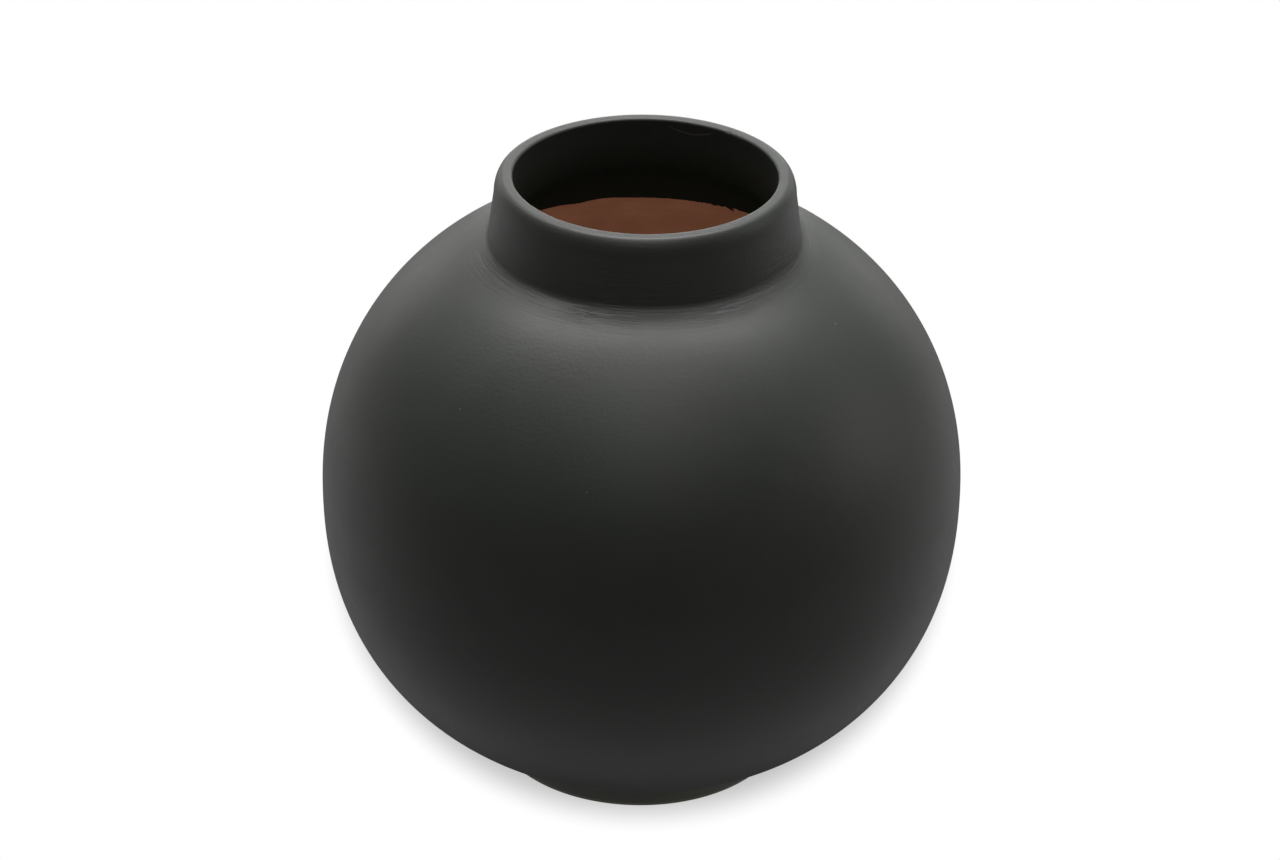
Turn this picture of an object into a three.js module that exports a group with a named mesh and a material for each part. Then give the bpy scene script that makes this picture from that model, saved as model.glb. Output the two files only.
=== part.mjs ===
// A round black clay pot: a globe on a low foot ring, with a short collar neck.
//
// Units are millimetres and +Z is up. The origin is on the floor, on the pot's axis.
// The clay members are two bowls, a neck collar and a foot ring. Each joint is bedded in a thin ring of
// luting slip. A skin of black slip covers the outside, the lip and the inside of the neck.
//
// Every piece is turned about the axis from a closed outline of Vector2(radius, height).
// Each surface that wears the black skin is a function of its depth: 0 is the skin's own face, COAT is
// the skin's back, and CLAY is the clay behind it, a hair's breadth further in.

import * as THREE from "three";

// The skin and the joints.
const COAT = 0.5;
const BOND_GAP = 0.02;
const CLAY = COAT + BOND_GAP;
const SLIP_BED = 0.4;

// The globe's outside: superellipse quarters, one below the belly joint and one above it.
const BELLY_RADIUS = 125;
const BELLY_JOINT_HEIGHT = 115.1;
const LOWER_DROP = 115.05;
const LOWER_POWER = 2.26;
const UPPER_RISE = 118.8;
const UPPER_POWER = 2.13;

// The globe's inside. The clay is thinnest at the belly and thickest at the shoulder.
const INNER_RADIUS = 118;
const INNER_DROP = 101.4;
const INNER_LOWER_POWER = 2.45;
const INNER_RISE = 107.4;
const INNER_UPPER_POWER = 2.13;

// The foot ring and the hollow base inside it.
const FOOT_RADIUS = 59.2;
const FOOT_BORE_RADIUS = 50;
const BASE_HEIGHT = 6.5;
const FOOT_CHAMFER = 0.8;
const COAT_FOOT_GAP = 1;

// The neck: a slightly tapering wall that turns out tightly into the shoulder. The turn keeps the wall's
// lean for one arm and the shoulder's slope for the other, and sinks with the depth under the skin.
const NECK_FLARE_TOP = 223;
const NECK_FLARE_RADIUS = 59.6;
const NECK_TAPER = 0.14;
const FLARE_END_RADIUS = 80;
const FLARE_WALL_ARM = 4.5;
const FLARE_SHOULDER_ARM = 12;
const FLARE_SINK = 0.6;
const NECK_SEAT_HEIGHT = 220.4;

// The lip: a flat top, a long rounding outside and a small one inside.
const RIM_HEIGHT = 247.5;
const LIP_FLAT_RADIUS = 53.6;
const LIP_ROUND_HEIGHT = 240;
const MOUTH_RADIUS = 50.1;
const MOUTH_ROUND = 1;

// The throat: the neck's inside wall curves out into the globe, and the black skin stops near the end of
// that curve. The edge is a share of the curve, from 0 at its top to 1 where it joins the globe.
const THROAT_TOP = 226;
const THROAT_END_RADIUS = 76;
const COAT_EDGE = 0.93;

// How finely the outlines are cut.
const TURN_STEPS = 48;
const GLOBE_STEPS = 8;
const FLARE_STEPS = 5;
const THROAT_STEPS = 4;
const LIP_STEPS = 4;
const MOUTH_STEPS = 2;
const HALVINGS = 50;

const point = (radius, height) => new THREE.Vector2(radius, height);

const materials = {
  blackSlip: new THREE.MeshStandardMaterial({ color: 0x2f312f, roughness: 0.62, metalness: 0 }),
  redClay: new THREE.MeshStandardMaterial({ color: 0x7a4a33, roughness: 0.9, metalness: 0 }),
  lutingSlip: new THREE.MeshStandardMaterial({ color: 0x6e4531, roughness: 0.95, metalness: 0 }),
};

// One quarter of a superellipse about (0, centre). A positive rise goes up, and a negative one down.
class GlobeQuarter {
  constructor(radius, rise, power, centre) {
    this.radius = radius;
    this.rise = rise;
    this.power = power;
    this.centre = centre;
  }

  heightAt(radius) {
    const left = 1 - (radius / this.radius) ** this.power;
    return this.centre + this.rise * left ** (1 / this.power);
  }

  slopeAt(radius) {
    const across = (radius / this.radius) ** (this.power - 1) / this.radius;
    const up = (this.heightAt(radius) - this.centre) / this.rise;
    return (-across * this.rise) / up ** (this.power - 1);
  }

  // The outline from one radius to another, in steps of equal angle about the centre.
  outline(fromRadius, toRadius, steps) {
    const angleAt = (radius) => Math.acos((radius / this.radius) ** (this.power / 2));
    const first = angleAt(fromRadius);
    const last = angleAt(toRadius);
    const points = [];
    for (let i = 0; i <= steps; i += 1) {
      const angle = first + ((last - first) * i) / steps;
      const radius = this.radius * Math.cos(angle) ** (2 / this.power);
      const height = this.centre + this.rise * Math.sin(angle) ** (2 / this.power);
      points.push(point(radius, height));
    }
    points[0] = point(fromRadius, this.heightAt(fromRadius));
    points[steps] = point(toRadius, this.heightAt(toRadius));
    return points;
  }
}

const lowerCentre = BELLY_JOINT_HEIGHT - SLIP_BED / 2;
const upperCentre = BELLY_JOINT_HEIGHT + SLIP_BED / 2;

const lowerOutside = (depth) =>
  new GlobeQuarter(BELLY_RADIUS - depth, depth - LOWER_DROP, LOWER_POWER, lowerCentre);

const upperOutside = (depth) =>
  new GlobeQuarter(BELLY_RADIUS - depth, UPPER_RISE - depth, UPPER_POWER, upperCentre);

const lowerInside = () => new GlobeQuarter(INNER_RADIUS, -INNER_DROP, INNER_LOWER_POWER, lowerCentre);

// The inside faces the other way, so its depth counts outwards from the skin to the clay.
const upperInside = (depth) => {
  const inwards = CLAY - depth;
  return new GlobeQuarter(INNER_RADIUS - inwards, INNER_RISE - inwards, INNER_UPPER_POWER, upperCentre);
};

// A curve that leaves start with the given lean (radius per unit of drop) and joins the globe at a radius.
function blendToGlobe(start, lean, globe, endRadius) {
  const end = point(endRadius, globe.heightAt(endRadius));
  const slope = globe.slopeAt(endRadius);
  const drop = (start.y - end.y - slope * (start.x - end.x)) / (1 + slope * lean);
  const corner = point(start.x + lean * drop, start.y - drop);
  return new THREE.QuadraticBezierCurve(start, corner, end);
}

// The outside turn from the neck's wall to the shoulder.
function flare(depth) {
  const sink = FLARE_SINK * depth;
  const start = point(NECK_FLARE_RADIUS - depth + NECK_TAPER * sink, NECK_FLARE_TOP - sink);
  const globe = upperOutside(depth);
  const end = point(FLARE_END_RADIUS, globe.heightAt(FLARE_END_RADIUS));
  const slope = globe.slopeAt(FLARE_END_RADIUS);
  return new THREE.CubicBezierCurve(
    start,
    point(start.x + NECK_TAPER * FLARE_WALL_ARM, start.y - FLARE_WALL_ARM),
    point(end.x - FLARE_SHOULDER_ARM, end.y - slope * FLARE_SHOULDER_ARM),
    end,
  );
}

const throat = (depth) =>
  blendToGlobe(point(MOUTH_RADIUS + depth, THROAT_TOP), 0, upperInside(depth), THROAT_END_RADIUS);

// Where along a falling curve a height is reached, from 0 at its start to 1 at its end, by halving.
function placeAtHeight(curve, height) {
  let above = 0;
  let below = 1;
  for (let i = 0; i < HALVINGS; i += 1) {
    const middle = (above + below) / 2;
    if (curve.getPoint(middle).y > height) {
      above = middle;
    } else {
      below = middle;
    }
  }
  return (above + below) / 2;
}

// Points of a curve from one place to another.
function stretch(curve, from, to, steps) {
  const points = [];
  for (let i = 0; i <= steps; i += 1) {
    points.push(curve.getPoint(from + ((to - from) * i) / steps));
  }
  return points;
}

// The foot ring's wall, up to the crease under the globe.
function footWall(depth) {
  const radius = FOOT_RADIUS - depth;
  const crease = lowerOutside(depth).heightAt(radius);
  return [point(radius, COAT_FOOT_GAP), point(radius, crease - SLIP_BED), point(radius, crease)];
}

const lowerGlobe = (depth) =>
  lowerOutside(depth).outline(FOOT_RADIUS - depth, BELLY_RADIUS - depth, GLOBE_STEPS);

const upperGlobe = (depth) =>
  upperOutside(depth).outline(BELLY_RADIUS - depth, FLARE_END_RADIUS, GLOBE_STEPS);

const seatTop = NECK_SEAT_HEIGHT + SLIP_BED;

// The flare's part on the upper bowl, going up from the shoulder to the seat.
function flareBelowSeat(depth) {
  const curve = flare(depth);
  return stretch(curve, 1, placeAtHeight(curve, NECK_SEAT_HEIGHT), FLARE_STEPS);
}

// The flare's part on the collar, going up from the seat to the neck's wall.
function flareAboveSeat(depth) {
  const curve = flare(depth);
  return stretch(curve, placeAtHeight(curve, seatTop), 0, FLARE_STEPS);
}

// The lip, from the neck's wall over the top to the mouth's wall.
function lip(depth) {
  const wallRadius = NECK_FLARE_RADIUS - NECK_TAPER * (LIP_ROUND_HEIGHT - NECK_FLARE_TOP) - depth;
  const across = wallRadius - LIP_FLAT_RADIUS;
  const up = RIM_HEIGHT - depth - LIP_ROUND_HEIGHT;
  const inside = MOUTH_ROUND - depth;
  const roundHeight = RIM_HEIGHT - MOUTH_ROUND;
  const quarter = Math.PI / 2;
  const outer = new THREE.EllipseCurve(LIP_FLAT_RADIUS, LIP_ROUND_HEIGHT, across, up, 0, quarter);
  const inner = new THREE.EllipseCurve(
    MOUTH_RADIUS + MOUTH_ROUND, roundHeight, inside, inside, quarter, 2 * quarter,
  );
  return [...stretch(outer, 0, 1, LIP_STEPS), ...stretch(inner, 0, 1, MOUTH_STEPS)];
}

// The throat's part on the collar, going down to the seat.
function throatAboveSeat(depth) {
  const curve = throat(depth);
  return stretch(curve, 0, placeAtHeight(curve, seatTop), THROAT_STEPS);
}

// The throat's part on the upper bowl that the black skin covers.
function coatedThroat(depth) {
  const curve = throat(depth);
  return stretch(curve, placeAtHeight(curve, NECK_SEAT_HEIGHT), COAT_EDGE, THROAT_STEPS);
}

// The throat's last part, bare clay.
const bareThroat = () => stretch(throat(CLAY), COAT_EDGE, 1, 1);

// One face of the skin from the foot to its edge in the throat.
function coatFace(depth) {
  return [
    ...footWall(depth),
    ...lowerGlobe(depth),
    ...upperGlobe(depth),
    ...flareBelowSeat(depth),
    ...flareAboveSeat(depth),
    ...lip(depth),
    ...throatAboveSeat(depth),
    ...coatedThroat(depth),
  ];
}

// Turns a closed outline about the axis. The outline runs anticlockwise, with radius to the right.
function turned(name, outline, material) {
  const tidy = outline.filter((p, i) => i === 0 || p.distanceTo(outline[i - 1]) > 1e-6);
  const onAxis = tidy[0].x === 0;
  const closed = onAxis ? tidy : [...tidy, tidy[0].clone()];
  const geometry = new THREE.LatheGeometry(closed, TURN_STEPS);
  geometry.rotateX(Math.PI / 2);
  const mesh = new THREE.Mesh(geometry, material);
  mesh.name = name;
  return mesh;
}

function footRing() {
  const underBowl = lowerOutside(CLAY);
  const radius = FOOT_RADIUS - CLAY;
  const seat = (r) => point(r, underBowl.heightAt(r) - SLIP_BED);
  const outline = [
    point(FOOT_BORE_RADIUS, FOOT_CHAMFER),
    point(FOOT_BORE_RADIUS + FOOT_CHAMFER, 0),
    point(radius - FOOT_CHAMFER, 0),
    point(radius, COAT_FOOT_GAP),
    seat(radius),
    seat((radius + FOOT_BORE_RADIUS) / 2),
    seat(FOOT_BORE_RADIUS),
  ];
  return turned("foot_ring", outline, materials.redClay);
}

function footLutingSlip() {
  const underBowl = lowerOutside(CLAY);
  const radius = FOOT_RADIUS - CLAY;
  const middle = (radius + FOOT_BORE_RADIUS) / 2;
  const top = (r) => point(r, underBowl.heightAt(r));
  const bottom = (r) => point(r, underBowl.heightAt(r) - SLIP_BED);
  const outline = [
    bottom(FOOT_BORE_RADIUS),
    bottom(middle),
    bottom(radius),
    top(radius),
    top(middle),
    top(FOOT_BORE_RADIUS),
  ];
  return turned("foot_luting_slip", outline, materials.lutingSlip);
}

function lowerBowl() {
  const underside = lowerOutside(CLAY);
  const middle = (FOOT_RADIUS - CLAY + FOOT_BORE_RADIUS) / 2;
  const outline = [
    point(0, BASE_HEIGHT),
    point(FOOT_BORE_RADIUS - CLAY, BASE_HEIGHT),
    point(FOOT_BORE_RADIUS, underside.heightAt(FOOT_BORE_RADIUS)),
    point(middle, underside.heightAt(middle)),
    ...lowerGlobe(CLAY),
    ...lowerInside().outline(INNER_RADIUS, 0, GLOBE_STEPS),
  ];
  return turned("lower_bowl", outline, materials.redClay);
}

function bellyLutingSlip() {
  const outline = [
    point(INNER_RADIUS, lowerCentre),
    point(BELLY_RADIUS - CLAY, lowerCentre),
    point(BELLY_RADIUS - CLAY, upperCentre),
    point(INNER_RADIUS, upperCentre),
  ];
  return turned("belly_luting_slip", outline, materials.lutingSlip);
}

function upperBowl() {
  const outline = [
    point(INNER_RADIUS, upperCentre),
    ...upperGlobe(CLAY),
    ...flareBelowSeat(CLAY),
    ...coatedThroat(CLAY),
    ...bareThroat(),
    ...upperInside(CLAY).outline(THROAT_END_RADIUS, INNER_RADIUS, GLOBE_STEPS),
  ];
  return turned("upper_bowl", outline.slice(0, -1), materials.redClay);
}

function neckLutingSlip() {
  const outside = flare(CLAY);
  const inside = throat(CLAY);
  const at = (curve, height) => curve.getPoint(placeAtHeight(curve, height));
  const outline = [
    at(inside, NECK_SEAT_HEIGHT),
    at(outside, NECK_SEAT_HEIGHT),
    at(outside, seatTop),
    at(inside, seatTop),
  ];
  return turned("neck_luting_slip", outline, materials.lutingSlip);
}

function neckCollar() {
  const outline = [...flareAboveSeat(CLAY), ...lip(CLAY), ...throatAboveSeat(CLAY)];
  return turned("neck_collar", outline, materials.redClay);
}

function blackSlipCoat() {
  const outline = [...coatFace(0), ...coatFace(COAT).reverse()];
  return turned("black_slip_coat", outline, materials.blackSlip);
}

const pot = new THREE.Group();
pot.add(
  footRing(),
  footLutingSlip(),
  lowerBowl(),
  bellyLutingSlip(),
  upperBowl(),
  neckLutingSlip(),
  neckCollar(),
  blackSlipCoat(),
);

export default pot;
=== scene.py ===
"""A round matte black clay pot in a pale studio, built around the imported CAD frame.

Outlines are lists of (radius, height) in millimetres, turned about the pot's axis with +Z up, and become
metres when a mesh is made. A depth of 0 is the black skin's own face, and CLAY is the clay behind it.
"""

import math

import bpy
import numpy as np
from mathutils import Matrix, Vector


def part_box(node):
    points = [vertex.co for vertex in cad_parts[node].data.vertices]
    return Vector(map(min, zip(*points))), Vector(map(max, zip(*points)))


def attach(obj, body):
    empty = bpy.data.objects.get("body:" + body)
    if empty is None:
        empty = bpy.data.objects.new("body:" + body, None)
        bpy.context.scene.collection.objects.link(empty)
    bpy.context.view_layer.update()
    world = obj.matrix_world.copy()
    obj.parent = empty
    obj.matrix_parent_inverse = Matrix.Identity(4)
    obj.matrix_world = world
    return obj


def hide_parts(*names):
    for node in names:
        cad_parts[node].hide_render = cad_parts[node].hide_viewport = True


MM = 0.001
SAME_POINT = 1e-4
ON_AXIS = 1e-6

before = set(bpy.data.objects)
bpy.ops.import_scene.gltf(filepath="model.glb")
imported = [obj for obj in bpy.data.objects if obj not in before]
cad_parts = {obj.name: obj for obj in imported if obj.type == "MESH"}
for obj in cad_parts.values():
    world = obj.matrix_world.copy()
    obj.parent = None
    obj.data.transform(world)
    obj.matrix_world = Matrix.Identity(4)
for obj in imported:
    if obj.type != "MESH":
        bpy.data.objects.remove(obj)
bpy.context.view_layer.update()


def cad_mm(node):
    """A CAD node's lowest and highest corners, in millimetres."""
    low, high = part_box(node)
    return np.array(low) / MM, np.array(high) / MM


# ---------------------------------------------------------------- sizes from the frame, in millimetres

skin_low, skin_high = cad_mm("black_slip_coat")
clay_low, clay_high = cad_mm("lower_bowl")
foot_low, foot_high = cad_mm("foot_ring")
belly_low, belly_high = cad_mm("belly_luting_slip")
seat_low, seat_high = cad_mm("neck_luting_slip")

BELLY_RADIUS = skin_high[0]
RIM_HEIGHT = skin_high[2]
SKIN_BOTTOM = skin_low[2]
CLAY = BELLY_RADIUS - clay_high[0]
FOOT_RADIUS = foot_high[0] + CLAY
LOWER_CENTRE = belly_low[2]
UPPER_CENTRE = belly_high[2]
SLIP_BED = UPPER_CENTRE - LOWER_CENTRE
SEAT_LOW = seat_low[2]
SEAT_HIGH = seat_high[2]
BASE_HEIGHT = clay_low[2]

# ---------------------------------------------------------------- shape of the outlines, in millimetres

SKIN_BACK = CLAY - 0.02
LOWER_DROP = 115.05
LOWER_POWER = 2.26
UPPER_RISE = 118.8
UPPER_POWER = 2.13
INNER_RADIUS = 118.0
INNER_DROP = 101.4
INNER_LOWER_POWER = 2.45
INNER_RISE = 107.4
INNER_UPPER_POWER = 2.13
FOOT_BORE_RADIUS = 50.0
FOOT_CHAMFER = 0.8
NECK_FLARE_TOP = 223.0
NECK_FLARE_RADIUS = 59.6
NECK_TAPER = 0.14
FLARE_END_RADIUS = 80.0
FLARE_WALL_ARM = 4.5
FLARE_SHOULDER_ARM = 12.0
FLARE_SINK = 0.6
LIP_FLAT_RADIUS = 53.6
LIP_ROUND_HEIGHT = 240.0
MOUTH_RADIUS = 50.1
MOUTH_ROUND = 1.0
THROAT_TOP = 226.0
THROAT_END_RADIUS = 76.0
SKIN_EDGE = 0.93
CURVE_SAMPLES = 20001


def smoothstep(x):
    x = np.clip(x, 0.0, 1.0)
    return x * x * (3.0 - 2.0 * x)


class Quarter:
    """One quarter of a superellipse about (0, centre); a negative rise goes down."""

    def __init__(self, radius, rise, power, centre):
        self.radius, self.rise, self.power, self.centre = radius, rise, power, centre

    def height(self, radius):
        left = 1.0 - (radius / self.radius) ** self.power
        return self.centre + self.rise * left ** (1.0 / self.power)

    def slope(self, radius):
        across = (radius / self.radius) ** (self.power - 1.0) / self.radius
        up = (self.height(radius) - self.centre) / self.rise
        return -across * self.rise / up ** (self.power - 1.0)

    def outline(self, from_radius, to_radius, steps):
        first, last = (math.acos((r / self.radius) ** (self.power / 2)) for r in (from_radius, to_radius))
        angle = np.linspace(first, last, steps + 1)
        radius = self.radius * np.cos(angle).clip(0) ** (2 / self.power)
        height = self.centre + self.rise * np.sin(angle).clip(0) ** (2 / self.power)
        points = np.stack([radius, height], axis=1)
        points[0] = (from_radius, self.height(from_radius))
        points[-1] = (to_radius, self.height(to_radius))
        return points


class Curve:
    """A Bezier curve through its end points, falling all the way; a share runs from 0 to 1 along it."""

    def __init__(self, *points):
        self.points = np.array(points, float)

    def at(self, share):
        s = np.atleast_1d(share)[:, None]
        n = len(self.points) - 1
        return sum(math.comb(n, i) * s**i * (1 - s) ** (n - i) * p for i, p in enumerate(self.points))

    def share_at(self, height):
        share = np.linspace(0.0, 1.0, CURVE_SAMPLES)
        return float(np.interp(-height, -self.at(share)[:, 1], share))


def lower_outside(depth):
    return Quarter(BELLY_RADIUS - depth, depth - LOWER_DROP, LOWER_POWER, LOWER_CENTRE)


def upper_outside(depth):
    return Quarter(BELLY_RADIUS - depth, UPPER_RISE - depth, UPPER_POWER, UPPER_CENTRE)


def lower_inside():
    return Quarter(INNER_RADIUS, -INNER_DROP, INNER_LOWER_POWER, LOWER_CENTRE)


def upper_inside(depth):
    inwards = CLAY - depth
    return Quarter(INNER_RADIUS - inwards, INNER_RISE - inwards, INNER_UPPER_POWER, UPPER_CENTRE)


def flare(depth):
    """The tight outside turn from the neck's wall to the shoulder."""
    sink = FLARE_SINK * depth
    globe = upper_outside(depth)
    radius, height = NECK_FLARE_RADIUS - depth + NECK_TAPER * sink, NECK_FLARE_TOP - sink
    end_height, slope = globe.height(FLARE_END_RADIUS), globe.slope(FLARE_END_RADIUS)
    return Curve(
        (radius, height),
        (radius + NECK_TAPER * FLARE_WALL_ARM, height - FLARE_WALL_ARM),
        (FLARE_END_RADIUS - FLARE_SHOULDER_ARM, end_height - slope * FLARE_SHOULDER_ARM),
        (FLARE_END_RADIUS, end_height),
    )


def throat(depth):
    """The mouth's wall curving out into the globe, tangent to both."""
    globe = upper_inside(depth)
    radius = MOUTH_RADIUS + depth
    end_height, slope = globe.height(THROAT_END_RADIUS), globe.slope(THROAT_END_RADIUS)
    corner = end_height + slope * (radius - THROAT_END_RADIUS)
    return Curve((radius, THROAT_TOP), (radius, corner), (THROAT_END_RADIUS, end_height))


def line(start, end, steps):
    share = np.linspace(0.0, 1.0, steps + 1)[:, None]
    return np.array(start) * (1 - share) + np.array(end) * share


def arc(centre, across, up, first, last, steps):
    angle = np.linspace(first, last, steps + 1)
    return np.stack([centre[0] + across * np.cos(angle), centre[1] + up * np.sin(angle)], axis=1)


def joined(*stretches):
    """Stretches end to end, without the points that two of them share."""
    points = np.concatenate(stretches)
    keep = np.ones(len(points), bool)
    keep[1:] = np.linalg.norm(np.diff(points, axis=0), axis=1) > SAME_POINT
    return points[keep]


def foot_wall(depth, steps):
    radius = FOOT_RADIUS - depth
    crease = lower_outside(depth).height(radius)
    return joined(
        line((radius, SKIN_BOTTOM), (radius, crease - SLIP_BED), steps),
        line((radius, crease - SLIP_BED), (radius, crease), 2),
    )


def lower_globe(depth, steps):
    return lower_outside(depth).outline(FOOT_RADIUS - depth, BELLY_RADIUS - depth, steps)


def upper_globe(depth, steps):
    return upper_outside(depth).outline(BELLY_RADIUS - depth, FLARE_END_RADIUS, steps)


def flare_below_seat(depth, steps):
    curve = flare(depth)
    return curve.at(np.linspace(1.0, curve.share_at(SEAT_LOW), steps + 1))


def flare_above_seat(depth, steps):
    curve = flare(depth)
    return curve.at(np.linspace(curve.share_at(SEAT_HIGH), 0.0, steps + 1))


def lip(depth, steps):
    """The neck's wall, the lip's outer rounding, its flat top and its small inner rounding."""
    neck = flare(depth).points[0]
    wall_radius = NECK_FLARE_RADIUS - NECK_TAPER * (LIP_ROUND_HEIGHT - NECK_FLARE_TOP) - depth
    top = RIM_HEIGHT - depth
    inside = MOUTH_ROUND - depth
    round_centre = (MOUTH_RADIUS + MOUTH_ROUND, RIM_HEIGHT - MOUTH_ROUND)
    quarter = math.pi / 2
    return joined(
        line(neck, (wall_radius, LIP_ROUND_HEIGHT), steps),
        arc((LIP_FLAT_RADIUS, LIP_ROUND_HEIGHT), wall_radius - LIP_FLAT_RADIUS,
            top - LIP_ROUND_HEIGHT, 0.0, quarter, steps),
        line((LIP_FLAT_RADIUS, top), (round_centre[0], top), steps // 2),
        arc(round_centre, inside, inside, quarter, 2 * quarter, steps // 2),
    )


# ---------------------------------------------------------------- what the potter's hand left

SEED = 7
rng = np.random.default_rng(SEED)
WAVES = [(n, rng.uniform(0, 2 * math.pi), rng.uniform(0, 2 * math.pi)) for n in (2, 3, 4, 5)]
OUT_OF_ROUND = 0.16
RIM_WAVE = 0.10
TWIST = 2.0


def hand_made(radius, height, turn):
    """Moves every piece alike, so that the pot is a little out of round and its rim a little uneven."""
    share = height / RIM_HEIGHT
    swell = sum(np.cos(n * turn + a + TWIST * share * math.cos(b)) / n for n, a, b in WAVES)
    rise = sum(np.cos(n * turn + b) / n for n, a, b in WAVES)
    keep = radius / BELLY_RADIUS
    top = smoothstep((height - THROAT_TOP) / (RIM_HEIGHT - THROAT_TOP))
    return radius + OUT_OF_ROUND * swell * keep, height + RIM_WAVE * rise * top


def place(radius, height, turn):
    """Vertex positions in metres of (radius, height, turn) grids."""
    radius, height = hand_made(radius, height, turn)
    return np.stack([radius * np.cos(turn), radius * np.sin(turn), height], axis=-1) * MM


# ---------------------------------------------------------------- meshes

def grid_faces(rows, columns, closed):
    """Quads between rows of a turned grid; the columns always wrap round, the rows if closed."""
    row = np.arange(rows if closed else rows - 1)[:, None]
    column = np.arange(columns)[None, :]
    up = (row + 1) % rows
    right = (column + 1) % columns
    corners = (row * columns + column, row * columns + right, up * columns + right, up * columns + column)
    return np.stack(corners, axis=-1).reshape(-1, 4)


def make_object(name, vertices, faces, material):
    mesh = bpy.data.meshes.new(name)
    mesh.from_pydata(vertices.tolist(), [], [tuple(f) for f in faces])
    mesh.validate()
    mesh.shade_smooth()
    mesh.materials.append(material)
    piece = bpy.data.objects.new(name, mesh)
    bpy.context.collection.objects.link(piece)
    return piece


def turned(name, radius, height, material, columns):
    """A solid from (rows, columns) grids of radius and height, or from one outline. Rows run round the
    outline, which closes on itself, or on the axis where it starts and ends there."""
    radius, height = np.asarray(radius, float), np.asarray(height, float)
    if radius.ndim == 1:
        radius = np.repeat(radius[:, None], columns, axis=1)
        height = np.repeat(height[:, None], columns, axis=1)
    turn = np.linspace(0.0, 2.0 * math.pi, columns, endpoint=False)[None, :]
    on_axis = radius[0, 0] < ON_AXIS
    if on_axis:
        poles = [(0.0, 0.0, height[0, 0] * MM), (0.0, 0.0, height[-1, 0] * MM)]
        radius, height = radius[1:-1], height[1:-1]
    vertices = place(radius, height, turn).reshape(-1, 3)
    rows = len(radius)
    faces = [tuple(f) for f in grid_faces(rows, columns, closed=not on_axis).tolist()]
    if on_axis:
        first, last = len(vertices), len(vertices) + 1
        vertices = np.concatenate([vertices, poles])
        end = (rows - 1) * columns
        for c in range(columns):
            n = (c + 1) % columns
            faces.append((first, n, c))
            faces.append((last, end + c, end + n))
    return make_object(name, vertices, faces, material)


# ---------------------------------------------------------------- materials

# Colours, as linear red, green and blue.
SLIP_DARK = (0.0410, 0.0420, 0.0385)
SLIP_LIGHT = (0.0485, 0.0495, 0.0460)
SLIP_GREEN = (0.0400, 0.0452, 0.0378)
# The two inside colours are painted shade: the slip inside the neck darkened, darkest deep in the throat.
SLIP_INSIDE_SHADED = (0.0190, 0.0245, 0.0215)
SLIP_DEEP_SHADE = (0.0130, 0.0160, 0.0115)
SLIP_WORN = (0.075, 0.078, 0.075)
# The next colour is painted light: the foot lightened towards the floor, as if the floor lit it.
SLIP_FLOOR_LIT = (0.140, 0.138, 0.115)
SLIP_RUN = (0.072, 0.072, 0.068)
THIN_SLIP = (0.040, 0.014, 0.008)
FLECK = (0.16, 0.17, 0.16)
CLAY_DARK = (0.33, 0.165, 0.098)
CLAY_LIGHT = (0.41, 0.215, 0.130)
CLAY_GRIT = (0.50, 0.32, 0.22)
JOINT_DARK = (0.22, 0.095, 0.05)
JOINT_LIGHT = (0.26, 0.115, 0.06)

SLIP_SPECULAR, INSIDE_SPECULAR = 0.5, 0.2
ROUGH_LOW, ROUGH_HIGH, ROUGH_INSIDE = 0.42, 0.48, 0.62

# Heights between which a tone sets in, in millimetres: the greener tone, the painted shade deep in the neck,
# and the painted floor light on the foot.
GREEN_FROM, GREEN_TO = 90.0, 170.0
DEEP_FROM, DEEP_TO = 239.0, 226.0
FOOT_LIT_FROM, FOOT_LIT_TO = 11.0, 7.0

# How deep each kind of unevenness is, in millimetres, and how fine each pattern is, in cells to the metre.
GRAIN_DEPTH, GRAIN_SCALE = 0.055, 800.0
PEEL_DEPTH, PEEL_SCALE = 0.05, 130.0
RING_DEPTH = 0.018
SCRAPE_DEPTH = 0.12
CLAY_GRAIN_DEPTH, CLAY_GRAIN_SCALE = 0.06, 900.0
CLAY_RIB_DEPTH = 0.12
CLOUD_SCALE = 60.0
GREEN_SCALE = 11.0
PATCH_SCALE = 26.0
FLECK_SCALE, FLECK_PATCH_SCALE = 160.0, 37.0
FLECK_CORE, FLECK_RIM = 0.035, 0.06
FLECK_RARITY = (0.66, 0.68)
CLAY_CLOUD_SCALE = 45.0
JOINT_SCALE = 120.0

# The potter's rings: cells to the metre along them and across them.
SKIN_RINGS = (40.0, 620.0)
CLAY_RINGS = (6.0, 420.0)

# The scraped band round the neck's root, and the run of slip under the lip. Lengths are in millimetres, and
# the sag is how much higher the run would be one radian away from its middle.
SCRAPE_RADIUS = 63.0
SCRAPE_REACH = 9.0
SCRAPE_FLOOR, SCRAPE_FULL = 204.0, 212.0
RUN_TURN = math.radians(69.5)
RUN_REACH = math.radians(11.0)
RUN_FULL_SHARE = 0.8
RUN_HEIGHT = 242.6
RUN_SAG = 68.0
RUN_WIDTH = 0.35
RUN_DEPTH = 0.15


def ramp(tree, source, low, high, to_low=0.0, to_high=1.0, kind="LINEAR"):
    node = tree.nodes.new("ShaderNodeMapRange")
    node.interpolation_type = kind
    node.inputs["From Min"].default_value = low
    node.inputs["From Max"].default_value = high
    node.inputs["To Min"].default_value = to_low
    node.inputs["To Max"].default_value = to_high
    tree.links.new(source, node.inputs["Value"])
    return node.outputs["Result"]


def math_node(tree, operation, first, second=None):
    node = tree.nodes.new("ShaderNodeMath")
    node.operation = operation
    for socket, value in zip(node.inputs, (first, second)):
        if value is None:
            continue
        if isinstance(value, (int, float)):
            socket.default_value = value
        else:
            tree.links.new(value, socket)
    return node.outputs[0]


def noise(tree, vector, scale, detail=3.0, roughness=0.55):
    node = tree.nodes.new("ShaderNodeTexNoise")
    node.inputs["Scale"].default_value = scale
    node.inputs["Detail"].default_value = detail
    node.inputs["Roughness"].default_value = roughness
    tree.links.new(vector, node.inputs["Vector"])
    return node.outputs["Fac"]


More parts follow.
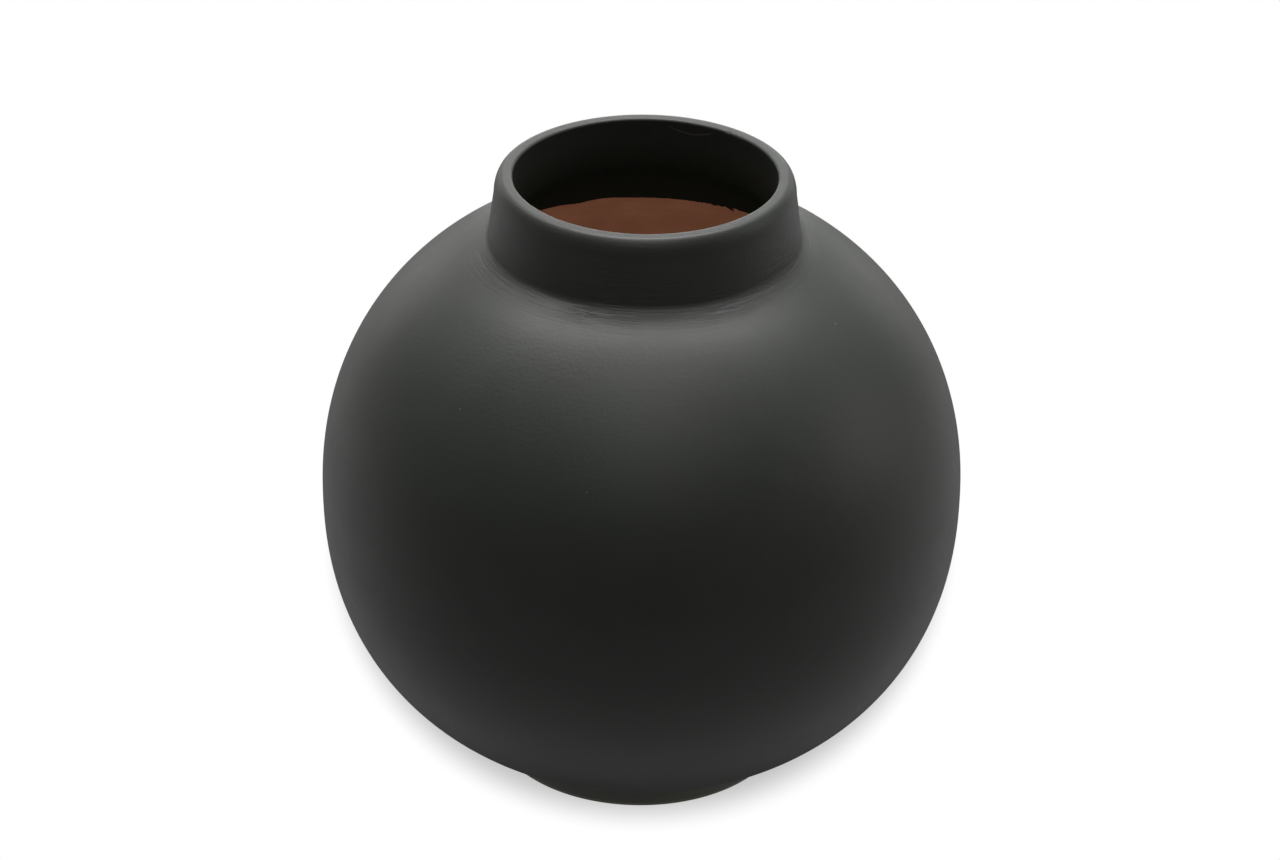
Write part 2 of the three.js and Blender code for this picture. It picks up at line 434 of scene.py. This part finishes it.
def mix_colour(tree, factor, first, second):
    node = tree.nodes.new("ShaderNodeMix")
    node.data_type = "RGBA"
    tree.links.new(factor, node.inputs["Factor"])
    for socket, value in zip((node.inputs[6], node.inputs[7]), (first, second)):
        if isinstance(value, tuple):
            socket.default_value = (*value, 1.0)
        else:
            tree.links.new(value, socket)
    return node.outputs[2]


def bump(tree, height, distance, strength=1.0, normal=None):
    node = tree.nodes.new("ShaderNodeBump")
    node.inputs["Distance"].default_value = distance
    node.inputs["Strength"].default_value = strength
    tree.links.new(height, node.inputs["Height"])
    if normal is not None:
        tree.links.new(normal, node.inputs["Normal"])
    return node.outputs["Normal"]


def ring_vector(tree, along, across):
    """Coordinates that run along the potter's rings slowly and across them fast, on walls and shoulder."""
    position = tree.nodes.new("ShaderNodeTexCoord").outputs["Object"]
    split = tree.nodes.new("ShaderNodeSeparateXYZ")
    tree.links.new(position, split.inputs[0])
    x, y, z = split.outputs
    squares = math_node(tree, "ADD", math_node(tree, "MULTIPLY", x, x), math_node(tree, "MULTIPLY", y, y))
    radius = math_node(tree, "SQRT", squares)
    join = tree.nodes.new("ShaderNodeCombineXYZ")
    tree.links.new(math_node(tree, "MULTIPLY", x, along), join.inputs[0])
    tree.links.new(math_node(tree, "MULTIPLY", y, along), join.inputs[1])
    height_less_radius = math_node(tree, "SUBTRACT", z, radius)
    tree.links.new(math_node(tree, "MULTIPLY", height_less_radius, across), join.inputs[2])
    return position, radius, z, join.outputs[0]


def new_material(name, roughness):
    material = bpy.data.materials.new(name)
    material.use_nodes = True
    tree = material.node_tree
    shader = tree.nodes["Principled BSDF"]
    shader.inputs["Roughness"].default_value = roughness
    return material, tree, shader


def scrape_lines(tree, position, radius, z, rings):
    """Fine broken lines where the wet joint was worked smooth, in patches round the neck's root."""
    root = math_node(tree, "SUBTRACT", radius, SCRAPE_RADIUS * MM)
    near = ramp(tree, math_node(tree, "ABSOLUTE", root), 0.0, SCRAPE_REACH * MM, 1.0, 0.0)
    on_top = ramp(tree, z, SCRAPE_FLOOR * MM, SCRAPE_FULL * MM)
    patch = ramp(tree, noise(tree, position, PATCH_SCALE, 2.0), 0.38, 0.62)
    lines = ramp(tree, noise(tree, rings, 1.0, 4.0, 0.7), 0.42, 0.58)
    where = math_node(tree, "MULTIPLY", math_node(tree, "MULTIPLY", near, on_top), patch)
    return math_node(tree, "MULTIPLY", where, lines)


def slip_run(tree, position, z):
    """1 along a thin sagging run of dried slip inside the neck, just under the lip, and 0 off it."""
    split = tree.nodes.new("ShaderNodeSeparateXYZ")
    tree.links.new(position, split.inputs[0])
    turn = math_node(tree, "ARCTAN2", split.outputs[1], split.outputs[0])
    away = math_node(tree, "SUBTRACT", turn, RUN_TURN)
    sag = math_node(tree, "MULTIPLY", math_node(tree, "MULTIPLY", away, away), RUN_SAG * MM)
    over = math_node(tree, "SUBTRACT", math_node(tree, "SUBTRACT", z, RUN_HEIGHT * MM), sag)
    line_mask = ramp(tree, math_node(tree, "ABSOLUTE", over), 0.0, RUN_WIDTH * MM, 1.0, 0.0)
    ends = ramp(tree, math_node(tree, "ABSOLUTE", away), RUN_FULL_SHARE * RUN_REACH, RUN_REACH, 1.0, 0.0)
    return math_node(tree, "MULTIPLY", line_mask, ends)


def attribute(tree, name):
    node = tree.nodes.new("ShaderNodeAttribute")
    node.attribute_name = name
    return node.outputs["Fac"]


def pale_flecks(tree, position):
    """Sparse pale specks of grit, under a millimetre across: 1 on a fleck and 0 off it."""
    cells = tree.nodes.new("ShaderNodeTexVoronoi")
    cells.inputs["Scale"].default_value = FLECK_SCALE
    tree.links.new(position, cells.inputs["Vector"])
    speck = ramp(tree, cells.outputs["Distance"], FLECK_CORE, FLECK_RIM, 1.0, 0.0)
    sparse = ramp(tree, noise(tree, position, FLECK_PATCH_SCALE, 1.0), *FLECK_RARITY)
    return math_node(tree, "MULTIPLY", speck, sparse)


def black_slip_material():
    """Matte charcoal slip: a cloudy tone that is greener above, turned lines round the neck's root, pale
    flecks, and painted light from the floor on the foot, lighter towards its bottom. Inside the neck it has
    painted shade, darkest deep in the throat; it is duller there and has a run, and at its very edge the red
    clay shows through."""
    material, tree, shader = new_material("charcoal_slip", 0.5)
    position, radius, z, rings = ring_vector(tree, *SKIN_RINGS)
    inside, thin = attribute(tree, "inside"), attribute(tree, "thin")
    cloud = ramp(tree, noise(tree, position, CLOUD_SCALE, 5.0, 0.7), 0.3, 0.7)
    green = ramp(tree, noise(tree, position, GREEN_SCALE, 3.0), 0.4, 0.65, 0.3, 1.0)
    green = math_node(tree, "MULTIPLY", green, ramp(tree, z, GREEN_FROM * MM, GREEN_TO * MM))
    scrape = scrape_lines(tree, position, radius, z, rings)
    run = math_node(tree, "MULTIPLY", slip_run(tree, position, z), inside)
    colour = mix_colour(tree, cloud, SLIP_DARK, SLIP_LIGHT)
    colour = mix_colour(tree, green, colour, SLIP_GREEN)
    colour = mix_colour(tree, ramp(tree, scrape, 0.4, 0.9, 0.0, 0.6), colour, SLIP_WORN)
    # Painted light from the floor, lighter towards the foot's bottom.
    foot = ramp(tree, z, FOOT_LIT_FROM * MM, FOOT_LIT_TO * MM)
    colour = mix_colour(tree, foot, colour, SLIP_FLOOR_LIT)
    colour = mix_colour(tree, pale_flecks(tree, position), colour, FLECK)
    # Painted shade inside the neck, darkest deep in the throat.
    deep = mix_colour(tree, ramp(tree, z, DEEP_FROM * MM, DEEP_TO * MM), SLIP_INSIDE_SHADED, SLIP_DEEP_SHADE)
    colour = mix_colour(tree, inside, colour, deep)
    colour = mix_colour(tree, run, colour, SLIP_RUN)
    colour = mix_colour(tree, thin, colour, THIN_SLIP)
    tree.links.new(colour, shader.inputs["Base Color"])
    outside_rough = ramp(tree, cloud, 0.0, 1.0, ROUGH_LOW, ROUGH_HIGH)
    added = math_node(tree, "MULTIPLY", inside, ROUGH_INSIDE - ROUGH_HIGH)
    tree.links.new(math_node(tree, "ADD", outside_rough, added), shader.inputs["Roughness"])
    dulled = ramp(tree, z, DEEP_TO * MM, DEEP_FROM * MM, -SLIP_SPECULAR, INSIDE_SPECULAR - SLIP_SPECULAR)
    shine = math_node(tree, "ADD", math_node(tree, "MULTIPLY", inside, dulled), SLIP_SPECULAR)
    tree.links.new(shine, shader.inputs["Specular IOR Level"])
    normal = bump(tree, noise(tree, position, GRAIN_SCALE, 3.0), GRAIN_DEPTH * MM)
    normal = bump(tree, noise(tree, position, PEEL_SCALE, 2.0), PEEL_DEPTH * MM, 1.0, normal)
    normal = bump(tree, noise(tree, rings, 1.0, 3.0), RING_DEPTH * MM, 1.0, normal)
    normal = bump(tree, scrape, SCRAPE_DEPTH * MM, 1.0, normal)
    normal = bump(tree, run, RUN_DEPTH * MM, 1.0, normal)
    tree.links.new(normal, shader.inputs["Normal"])
    return material


def red_clay_material():
    """Bare fired clay: red-brown, mottled, with fine grit and the lines of the potter's rib."""
    material, tree, shader = new_material("bare_red_clay", 0.85)
    position, _, _, rings = ring_vector(tree, *CLAY_RINGS)
    cloud = noise(tree, position, CLAY_CLOUD_SCALE, 4.0, 0.6)
    tone = mix_colour(tree, ramp(tree, cloud, 0.3, 0.7), CLAY_DARK, CLAY_LIGHT)
    lines = noise(tree, rings, 1.0, 3.0)
    streaked = mix_colour(tree, ramp(tree, lines, 0.45, 0.75, 0.0, 0.35), tone, CLAY_DARK)
    grit = mix_colour(tree, pale_flecks(tree, position), streaked, CLAY_GRIT)
    tree.links.new(grit, shader.inputs["Base Color"])
    normal = bump(tree, noise(tree, position, CLAY_GRAIN_SCALE, 3.0), CLAY_GRAIN_DEPTH * MM)
    normal = bump(tree, lines, CLAY_RIB_DEPTH * MM, 1.0, normal)
    tree.links.new(normal, shader.inputs["Normal"])
    return material


def luting_slip_material():
    """Dried slip in the joints: the clay's colour, a little duller and finer."""
    material, tree, shader = new_material("joint_slip", 0.9)
    position = tree.nodes.new("ShaderNodeTexCoord").outputs["Object"]
    cloud = noise(tree, position, JOINT_SCALE)
    tone = mix_colour(tree, ramp(tree, cloud, 0.3, 0.7), JOINT_DARK, JOINT_LIGHT)
    tree.links.new(tone, shader.inputs["Base Color"])
    return material


# ---------------------------------------------------------------- the pot's pieces

SKIN_COLUMNS = 512
CLAY_COLUMNS = 256

# How near to the mouth's wall a row counts as on it, in millimetres.
WALL_MARGIN = 0.2


def skin_face(depth, edge_share, columns, fine):
    """(rows, columns) grids of one face of the skin, from the foot to its edge inside the throat."""
    outside = joined(
        foot_wall(depth, 4 * fine),
        lower_globe(depth, 24 * fine),
        upper_globe(depth, 24 * fine),
        flare_below_seat(depth, 6 * fine),
        flare_above_seat(depth, 6 * fine),
        lip(depth, 6 * fine),
        line((MOUTH_RADIUS + depth, RIM_HEIGHT - MOUTH_ROUND), (MOUTH_RADIUS + depth, THROAT_TOP), 8 * fine),
    )
    radius = np.repeat(outside[:, :1], columns, axis=1)
    height = np.repeat(outside[:, 1:], columns, axis=1)
    share = np.linspace(0.0, 1.0, 16 * fine + 1)[1:, None] * edge_share[None, :]
    left = (edge_share[None, :] - share) / FEATHER_SHARE
    thickness = EDGE_THICKNESS + (1.0 - EDGE_THICKNESS) * smoothstep(left)
    back = throat(SKIN_BACK).at(share.ravel()).reshape(*share.shape, 2)
    front = throat(depth).at(share.ravel()).reshape(*share.shape, 2)
    points = back + (front - back) * thickness[..., None]
    return np.concatenate([radius, points[..., 0]]), np.concatenate([height, points[..., 1]])


# Where the brushed edge steps: turn from +X towards +Y and width in degrees, share of the throat's curve.
EDGE_STEPS = ((111.7, 3.6, 0.045), (102.5, 5.0, -0.035), (205.0, 8.0, 0.030), (318.0, 6.0, -0.030))
# Where it is ragged, in the same terms.
EDGE_RAGS = ((63.0, 9.0, 0.040), (164.0, 10.0, 0.015), (260.0, 14.0, 0.018))


def brushed_edge(columns):
    """How far down the throat's curve the skin reaches at each column, as a brushed line."""
    turn = np.linspace(0.0, 2.0 * math.pi, columns, endpoint=False)
    edge = np.full(columns, SKIN_EDGE)
    for n, size in ((2, 0.004), (3, 0.005), (5, 0.004), (9, 0.003), (41, 0.002), (83, 0.002)):
        edge += size * np.cos(n * turn + rng.uniform(0, 2 * math.pi))
    rough = rng.normal(0.0, 1.0, columns)
    for bumps, size_at in ((EDGE_STEPS, np.ones(columns)), (EDGE_RAGS, rough)):
        for degrees, width, size in bumps:
            away = np.degrees(np.angle(np.exp(1j * (turn - math.radians(degrees)))))
            edge += size * size_at * np.exp(-(away / width) ** 2)
    return edge


# The skin thins towards its brushed-out edge: shares of the throat's curve and of the skin's thickness.
FEATHER_SHARE = 0.05
EDGE_THICKNESS = 0.25

# Small chips in the lip's inner edge: turn from +X towards +Y in degrees, width and depth in millimetres.
NICKS = ((51.0, 1.1, 0.45), (47.5, 0.8, 0.35), (44.0, 1.3, 0.30), (68.0, 0.7, 0.25), (231.0, 0.8, 0.25))
NICK_HEIGHT = 0.9
NICK_SLANT = 0.7


def nick_lip(radius, height):
    """Presses the chips into the rows round the lip's inner edge."""
    turn = np.linspace(0.0, 2.0 * math.pi, radius.shape[1], endpoint=False)[None, :]
    edge = np.hypot(radius - MOUTH_RADIUS, height - RIM_HEIGHT)
    for degrees, width, depth in NICKS:
        away = np.angle(np.exp(1j * (turn - math.radians(degrees)))) * MOUTH_RADIUS
        push = depth * np.exp(-(away / width) ** 2 - (edge / NICK_HEIGHT) ** 2)
        radius += push * NICK_SLANT
        height -= push * NICK_SLANT


def first_inside(radius, height):
    """The first row of the front face that is on the mouth's wall, by the lip's inner rounding."""
    at_wall = radius[:, 0] < MOUTH_RADIUS + WALL_MARGIN
    below_lip = height[:, 0] < RIM_HEIGHT - MOUTH_ROUND + WALL_MARGIN
    return int(np.argmax(at_wall & below_lip))


def black_slip_coat(material):
    edge = brushed_edge(SKIN_COLUMNS)
    front_radius, front_height = skin_face(0.0, edge, SKIN_COLUMNS, 2)
    nick_lip(front_radius, front_height)
    back_radius, back_height = skin_face(SKIN_BACK, edge, SKIN_COLUMNS, 1)
    radius = np.concatenate([front_radius, back_radius[::-1]])
    height = np.concatenate([front_height, back_height[::-1]])
    piece = turned("black_slip_skin", radius, height, material, SKIN_COLUMNS)
    thin = np.zeros(radius.shape)
    thin[len(front_radius) - 1] = 1.0
    inside = np.zeros(radius.shape)
    inside[first_inside(front_radius, front_height):] = 1.0
    for name, values in (("thin", thin), ("inside", inside)):
        layer = piece.data.attributes.new(name, "FLOAT", "POINT")
        layer.data.foreach_set("value", values.ravel())
    return piece


def outline_piece(name, outline, material):
    return turned(name, outline[:, 0], outline[:, 1], material, CLAY_COLUMNS)


def foot_seat(lift, steps):
    """The bowl's underside over the foot ring, from the ring's wall to its bore, lowered by lift."""
    radius = np.linspace(FOOT_RADIUS - CLAY, FOOT_BORE_RADIUS, steps + 1)
    return np.stack([radius, lower_outside(CLAY).height(radius) - lift], axis=1)


def foot_ring(material):
    radius = FOOT_RADIUS - CLAY
    quarter = math.pi / 2
    outline = joined(
        arc((FOOT_BORE_RADIUS + FOOT_CHAMFER, FOOT_CHAMFER), FOOT_CHAMFER, FOOT_CHAMFER,
            2 * quarter, 3 * quarter, 4),
        arc((radius - FOOT_CHAMFER, FOOT_CHAMFER), FOOT_CHAMFER, FOOT_CHAMFER, -quarter, 0.0, 4),
        foot_seat(SLIP_BED, 8),
    )
    return outline_piece("foot_ring_clay", outline, material)


def foot_slip(material):
    outline = joined(foot_seat(SLIP_BED, 8)[::-1], foot_seat(0.0, 8))
    return outline_piece("foot_joint_slip", outline, material)


def lower_bowl(material):
    outline = joined(
        line((0.0, BASE_HEIGHT), (FOOT_BORE_RADIUS - CLAY, BASE_HEIGHT), 12),
        foot_seat(0.0, 8)[::-1],
        lower_globe(CLAY, 40),
        lower_inside().outline(INNER_RADIUS, 0.0, 64),
    )
    return outline_piece("lower_bowl_clay", outline, material)


def belly_slip(material):
    inner, outer = INNER_RADIUS, BELLY_RADIUS - CLAY
    outline = joined(
        line((inner, LOWER_CENTRE), (outer, LOWER_CENTRE), 4),
        line((outer, UPPER_CENTRE), (inner, UPPER_CENTRE), 4),
    )
    return outline_piece("belly_joint_slip", outline, material)


def upper_bowl(material):
    inner = throat(CLAY)
    outline = joined(
        upper_globe(CLAY, 40),
        flare_below_seat(CLAY, 8),
        inner.at(np.linspace(inner.share_at(SEAT_LOW), 1.0, 33)),
        upper_inside(CLAY).outline(THROAT_END_RADIUS, INNER_RADIUS, 48),
    )
    return outline_piece("upper_bowl_clay", outline, material)


def neck_slip(material):
    outside, inside = flare(CLAY), throat(CLAY)
    corners = [
        inside.at(inside.share_at(SEAT_LOW)),
        outside.at(outside.share_at(SEAT_LOW)),
        outside.at(outside.share_at(SEAT_HIGH)),
        inside.at(inside.share_at(SEAT_HIGH)),
    ]
    return outline_piece("neck_joint_slip", joined(*corners), material)


def neck_collar(material):
    inner = throat(CLAY)
    outline = joined(
        flare_above_seat(CLAY, 8),
        lip(CLAY, 8),
        inner.at(np.linspace(0.0, inner.share_at(SEAT_HIGH), 9)),
    )
    return outline_piece("neck_collar_clay", outline, material)


# ---------------------------------------------------------------- studio

# The camera's place is in metres, and its lens and sensor are in millimetres.
CAMERA_DISTANCE = 1.5
CAMERA_ELEVATION = math.radians(29.2)
CAMERA_ROLL = math.radians(0.7486)
CAMERA_TARGET = Vector((-0.0008, 0.0, 0.13715))
CAMERA_LENS = 108.06
SENSOR_WIDTH = 36.0

# The floor and the oval of shade painted on it, in metres. Its edge is soft between two shares of its size,
# and it fades out between two distances behind the pot's axis.
FLOOR_SIDE = 12.0
FLOOR_DARK = 0.55
SHADE_WIDTH = 0.133
SHADE_LENGTH = 0.241
SHADE_CENTRE = 0.179
SHADE_INSIDE, SHADE_OUTSIDE = 0.95, 1.07
SHADE_FADE_FROM, SHADE_FADE_TO = 0.20, 0.42


def add_camera():
    data = bpy.data.cameras.new("camera")
    data.lens = CAMERA_LENS
    data.sensor_width = SENSOR_WIDTH
    camera = bpy.data.objects.new("camera", data)
    bpy.context.collection.objects.link(camera)
    away = Vector((0.0, -math.cos(CAMERA_ELEVATION), math.sin(CAMERA_ELEVATION)))
    aim = (-away).to_track_quat("-Z", "Y").to_matrix().to_4x4()
    place_at = Matrix.Translation(CAMERA_TARGET + away * CAMERA_DISTANCE)
    camera.matrix_world = place_at @ aim @ Matrix.Rotation(CAMERA_ROLL, 4, "Z")
    bpy.context.scene.camera = camera


# Softboxes on a sphere round the pot, facing it: azimuth and elevation in degrees, and watts. Azimuth 0
# is behind the camera, 90 is on its right and 180 is behind the pot.
SOFTBOX_SIDE = 1.0
SOFTBOX_DISTANCE = 2.2
POT_MIDDLE = Vector((0.0, 0.0, 0.12))
SOFTBOXES = {
    "back_high": (180, 65, 27.5),
    "back_high_right": (120, 65, 12.5),
    "back_high_left": (240, 65, 14.5),
    "top": (0, 89, 5.5),
    "front_high": (0, 65, 3.6),
    "front": (0, 40, 1.7),
    "back_left": (240, 40, 2.0),
    "back_right": (120, 40, 1.8),
    "back_low": (180, 10, 10.5),
    "back_low_right": (148, 12, 3.0),
    "back_low_left": (212, 12, 3.6),
    "right": (90, 15, 3.4),
}

# The world's light: the sky, and the ground by direction. A direction is a unit vector, so 1.0 is straight
# back, and -1.0 straight forward or straight down.
HORIZON_BLUR = 0.15
SKY_LIGHT = 0.08
GROUND_FRONT_LIGHT = 0.21
GROUND_BACK_LIGHT = 0.57
GROUND_FAR_DIM = 0.36
GROUND_FAR, GROUND_NEAR = -0.35, -0.80
GROUND_DIM_FRONT, GROUND_DIM_BACK = -0.2, 0.4
GROUND_SHADE = 0.05
GROUND_SHADE_IN, GROUND_SHADE_OUT, GROUND_SHADE_BACK = 0.15, 0.5, 0.4

# The weak light inside the globe: metres and watts.
INSIDE_FILL_HEIGHT = 0.10
INSIDE_FILL_RADIUS = 0.03
INSIDE_FILL_WATTS = 0.1


def add_softbox(name, azimuth, elevation, watts):
    data = bpy.data.lights.new(name, "AREA")
    data.shape = "SQUARE"
    data.size = SOFTBOX_SIDE
    data.energy = watts
    light = bpy.data.objects.new(name, data)
    light.visible_camera = False
    bpy.context.collection.objects.link(light)
    a, e = math.radians(azimuth), math.radians(elevation)
    away = Vector((math.sin(a) * math.cos(e), -math.cos(a) * math.cos(e), math.sin(e)))
    aim = (-away).to_track_quat("-Z", "Y").to_matrix().to_4x4()
    light.matrix_world = Matrix.Translation(POT_MIDDLE + away * SOFTBOX_DISTANCE) @ aim


def add_inside_fill():
    """A weak soft light down in the globe, so that the bare clay behind the mouth can be seen."""
    data = bpy.data.lights.new("inside_fill", "POINT")
    data.shadow_soft_size = INSIDE_FILL_RADIUS
    data.energy = INSIDE_FILL_WATTS
    light = bpy.data.objects.new("inside_fill", data)
    light.location = (0.0, 0.0, INSIDE_FILL_HEIGHT)
    light.visible_camera = False
    light.visible_glossy = False
    bpy.context.collection.objects.link(light)


def floor_shade(tree):
    """1 on the open floor, falling to FLOOR_DARK in a soft oval pool of shade that starts under the pot and
    dies away behind it."""
    split = tree.nodes.new("ShaderNodeSeparateXYZ")
    tree.links.new(tree.nodes.new("ShaderNodeTexCoord").outputs["Object"], split.inputs[0])
    across = math_node(tree, "DIVIDE", split.outputs[0], SHADE_WIDTH)
    along = math_node(tree, "SUBTRACT", split.outputs[1], SHADE_CENTRE)
    along = math_node(tree, "DIVIDE", along, SHADE_LENGTH)
    squares = math_node(tree, "MULTIPLY", across, across)
    squares = math_node(tree, "ADD", squares, math_node(tree, "MULTIPLY", along, along))
    away = math_node(tree, "SQRT", squares)
    pool = ramp(tree, away, SHADE_INSIDE, SHADE_OUTSIDE, 1.0, 0.0, "SMOOTHSTEP")
    fade = ramp(tree, split.outputs[1], SHADE_FADE_FROM, SHADE_FADE_TO, 1.0, 0.0, "SMOOTHSTEP")
    return ramp(tree, math_node(tree, "MULTIPLY", pool, fade), 0.0, 1.0, 1.0, FLOOR_DARK)


def add_floor():
    """A pale floor that the camera sees but that sends no light back up to the pot."""
    bpy.ops.mesh.primitive_plane_add(size=FLOOR_SIDE)
    floor = bpy.context.object
    floor.name = "studio_floor"
    material = bpy.data.materials.new("pale_floor")
    material.use_nodes = True
    tree = material.node_tree
    tree.nodes.remove(tree.nodes["Principled BSDF"])
    glow = tree.nodes.new("ShaderNodeEmission")
    glow.inputs["Color"].default_value = (1.0, 1.0, 1.0, 1.0)
    tree.links.new(floor_shade(tree), glow.inputs["Strength"])
    tree.links.new(glow.outputs[0], tree.nodes["Material Output"].inputs["Surface"])
    floor.data.materials.append(material)
    floor.visible_diffuse = False
    floor.visible_glossy = False


def ground_light(tree, sideways, backward, upward):
    """The ground's brightness each way: brighter towards the back, dimmer far off at the front, and nearly
    dark in the pot's own shade straight behind it."""
    ground = ramp(tree, backward, -1.0, 1.0, GROUND_FRONT_LIGHT, GROUND_BACK_LIGHT)
    beside = math_node(tree, "ABSOLUTE", sideways)
    beside = ramp(tree, beside, GROUND_SHADE_IN, GROUND_SHADE_OUT, 1.0, 0.0)
    shaded = math_node(tree, "MULTIPLY", beside, ramp(tree, backward, 0.0, GROUND_SHADE_BACK))
    ground = math_node(tree, "MULTIPLY", ground, ramp(tree, shaded, 0.0, 1.0, 1.0, GROUND_SHADE))
    far = ramp(tree, upward, GROUND_NEAR, GROUND_FAR)
    far = math_node(tree, "MULTIPLY", far, ramp(tree, backward, GROUND_DIM_BACK, GROUND_DIM_FRONT))
    return math_node(tree, "MULTIPLY", ground, ramp(tree, far, 0.0, 1.0, 1.0, GROUND_FAR_DIM))


def add_world():
    """A white backdrop for the camera, and for the light a plain sky over the ground."""
    world = bpy.data.worlds.new("studio")
    bpy.context.scene.world = world
    world.use_nodes = True
    tree = world.node_tree
    background = tree.nodes["Background"]
    split = tree.nodes.new("ShaderNodeSeparateXYZ")
    tree.links.new(tree.nodes.new("ShaderNodeTexCoord").outputs["Generated"], split.inputs[0])
    sideways, backward, upward = split.outputs
    rise = ramp(tree, upward, -HORIZON_BLUR, HORIZON_BLUR)
    light = tree.nodes.new("ShaderNodeMix")
    tree.links.new(rise, light.inputs["Factor"])
    tree.links.new(ground_light(tree, sideways, backward, upward), light.inputs[2])
    light.inputs[3].default_value = SKY_LIGHT
    seen = tree.nodes.new("ShaderNodeLightPath").outputs["Is Camera Ray"]
    strength = tree.nodes.new("ShaderNodeMix")
    tree.links.new(seen, strength.inputs["Factor"])
    tree.links.new(light.outputs[0], strength.inputs[2])
    strength.inputs[3].default_value = 1.0
    tree.links.new(strength.outputs[0], background.inputs["Strength"])
    background.inputs["Color"].default_value = (1.0, 1.0, 1.0, 1.0)


add_camera()
add_floor()
add_world()
for name, (azimuth, elevation, watts) in SOFTBOXES.items():
    add_softbox(name, azimuth, elevation, watts)
add_inside_fill()
bpy.context.scene.view_settings.view_transform = "Standard"

black_slip = black_slip_material()
red_clay = red_clay_material()
luting_slip = luting_slip_material()

PIECES = (
    (foot_ring, red_clay, "red_clay", "foot_ring"),
    (foot_slip, luting_slip, "luting_slip", "foot_luting_slip"),
    (lower_bowl, red_clay, "red_clay", "lower_bowl"),
    (belly_slip, luting_slip, "luting_slip", "belly_luting_slip"),
    (upper_bowl, red_clay, "red_clay", "upper_bowl"),
    (neck_slip, luting_slip, "luting_slip", "neck_luting_slip"),
    (neck_collar, red_clay, "red_clay", "neck_collar"),
    (black_slip_coat, black_slip, "black_slip", "black_slip_coat"),
)
for build, material, slot, node in PIECES:
    piece = build(material)
    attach(piece, "root")
    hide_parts(node)
